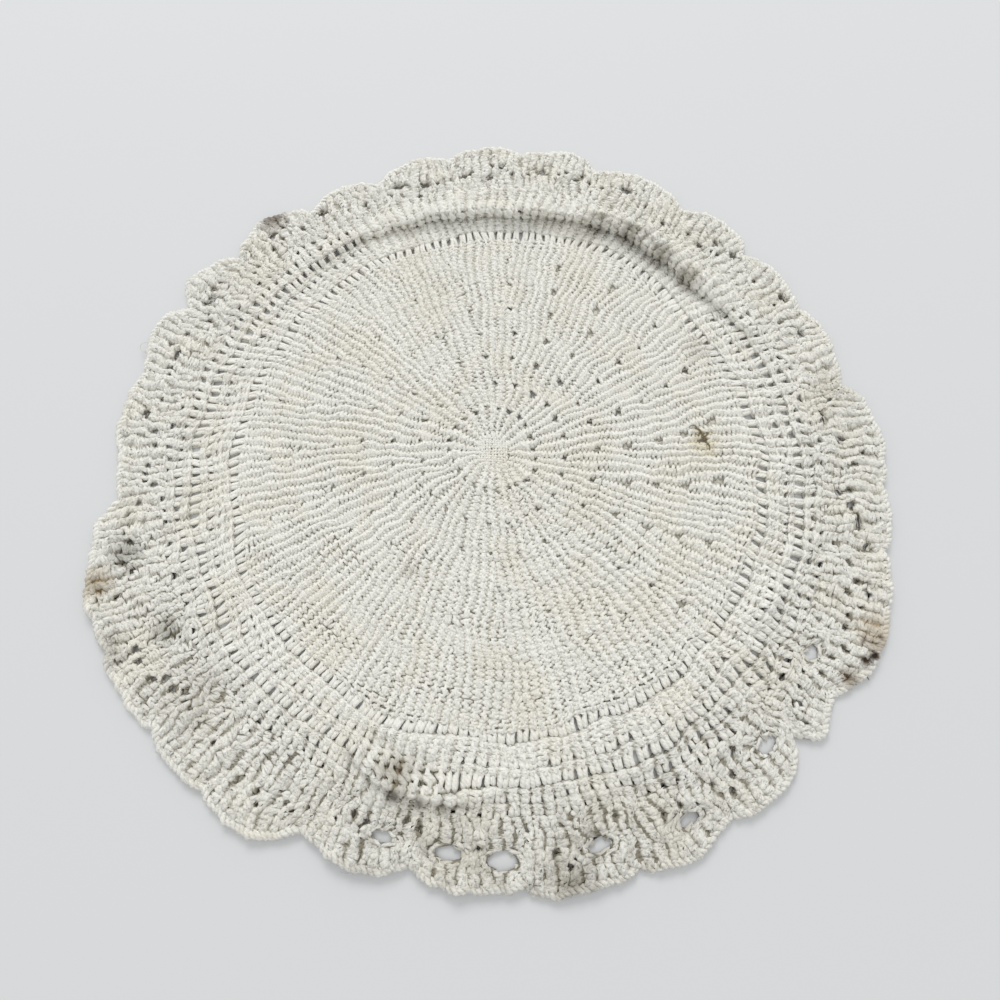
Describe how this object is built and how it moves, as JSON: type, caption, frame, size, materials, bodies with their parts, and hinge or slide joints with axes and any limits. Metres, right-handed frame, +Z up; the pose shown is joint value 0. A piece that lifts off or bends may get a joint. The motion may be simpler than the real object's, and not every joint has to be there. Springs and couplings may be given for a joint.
{
  "type": "knitted lace doily",
  "caption": "Round hand-knitted cotton doily with a close garter-stitch centre, rings of eyelets and a scalloped edging, lying flat with one soft fold.",
  "frame": {"origin": "under the middle of the bounding box, on the table surface", "axes": "+Z up out of the cloth's right side, +Y towards the side with the fold, +X to the right of it"},
  "size_m": [0.3926, 0.3926, 0.0135],
  "materials": {
    "cotton_yarn": "matte, slightly fuzzy, off-white with faint grey and brown soiling"
  },
  "bodies": {
    "root": {"doily": "cotton_yarn"}
  },
  "joints": []
}
